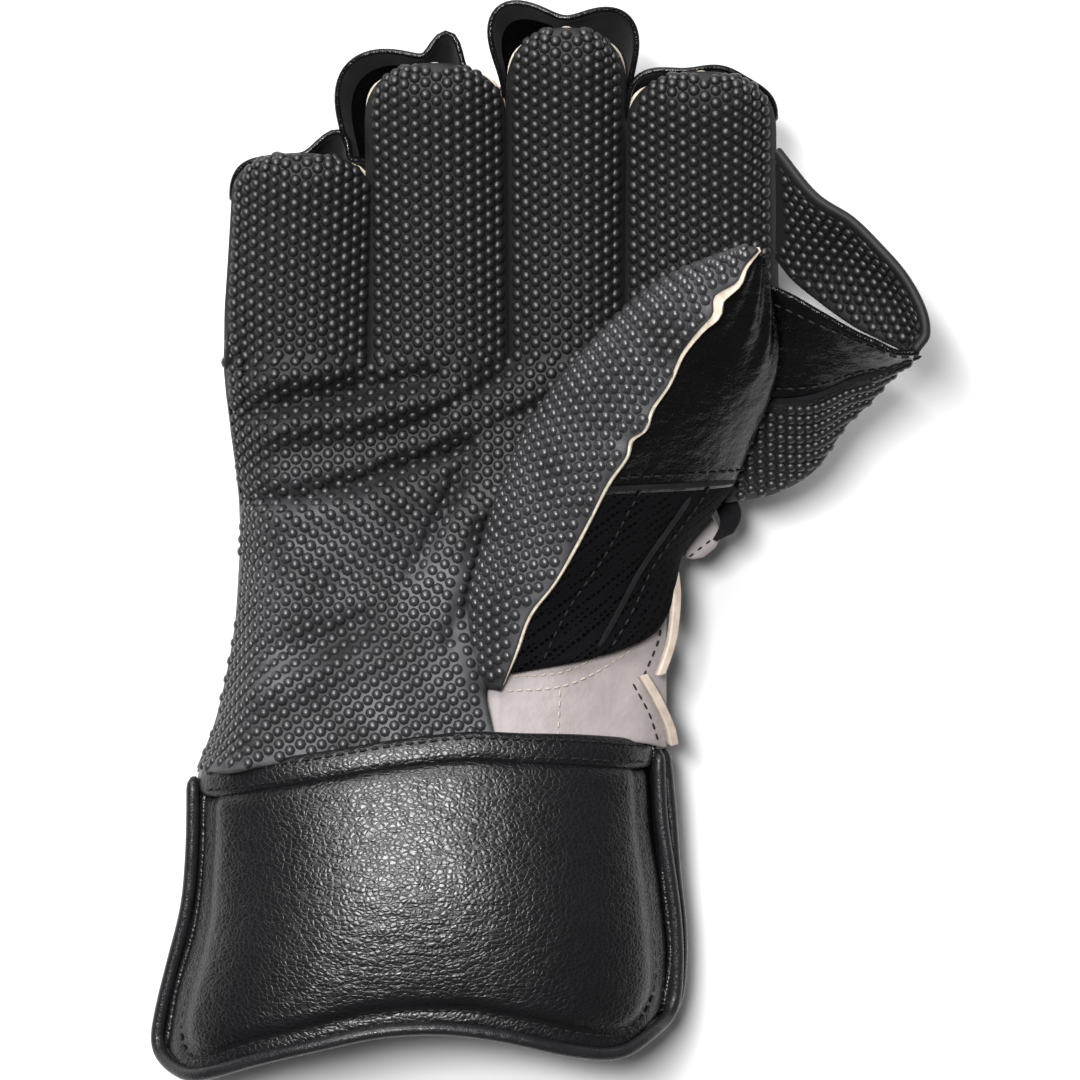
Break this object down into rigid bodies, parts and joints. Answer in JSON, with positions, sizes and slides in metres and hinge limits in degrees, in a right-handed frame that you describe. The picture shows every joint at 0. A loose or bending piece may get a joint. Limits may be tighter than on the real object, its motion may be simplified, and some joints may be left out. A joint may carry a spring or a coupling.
{
  "type": "wicketkeeping glove",
  "caption": "Right hand wicketkeeping glove lying on its back: black pimpled rubber palm, leather backs, thumb web, white gusset, padded cuff.",
  "frame": {"origin": "back_rest: flat underside of the hand back, below the middle of the palm", "axes": "+X to the thumb side, +Y to the fingertips, +Z out of the palm, up from the surface it lies on"},
  "size_m": [0.2065, 0.2866, 0.098],
  "materials": {
    "pimpled_rubber": "dark grey pimpled facing rubber, satin",
    "black_leather": "smooth black leather, semi-gloss",
    "black_suede": "black suede, matt with a short nap",
    "black_mesh": "black open mesh cloth on suede, matt",
    "grained_leather": "black grained leather, semi-gloss",
    "piping_leather": "smooth charcoal leather piping, satin",
    "white_leather": "off-white soft leather, matt",
    "cream_binding": "cream folded binding, worn edge, matt"
  },
  "bodies": {
    "root": {"palm_facing": "pimpled_rubber", "little_facing": "pimpled_rubber", "ring_facing": "pimpled_rubber", "middle_facing": "pimpled_rubber", "index_facing": "pimpled_rubber", "thumb_facing": "pimpled_rubber", "web_band": "pimpled_rubber", "hand_back": "black_leather", "thumb_cap": "black_leather", "thumb_back": "black_leather", "web_panel": "black_leather", "little_tip_cap": "black_leather", "ring_tip_cap": "black_leather", "middle_tip_cap": "black_leather", "index_tip_cap": "black_leather", "little_stall_back": "black_suede", "ring_stall_back": "black_suede", "middle_stall_back": "black_suede", "index_stall_back": "black_suede", "strap_keeper": "black_suede", "thumb_side_panel": "black_mesh", "web_lower_panel": "pimpled_rubber", "cuff_front": "grained_leather", "cuff_yoke": "grained_leather", "cuff_back": "grained_leather", "cuff_front_piping": "piping_leather", "cuff_back_piping": "piping_leather", "wrist_gusset": "white_leather", "strap_tab": "white_leather", "upper_binding": "cream_binding", "lower_binding": "cream_binding"}
  },
  "joints": []
}
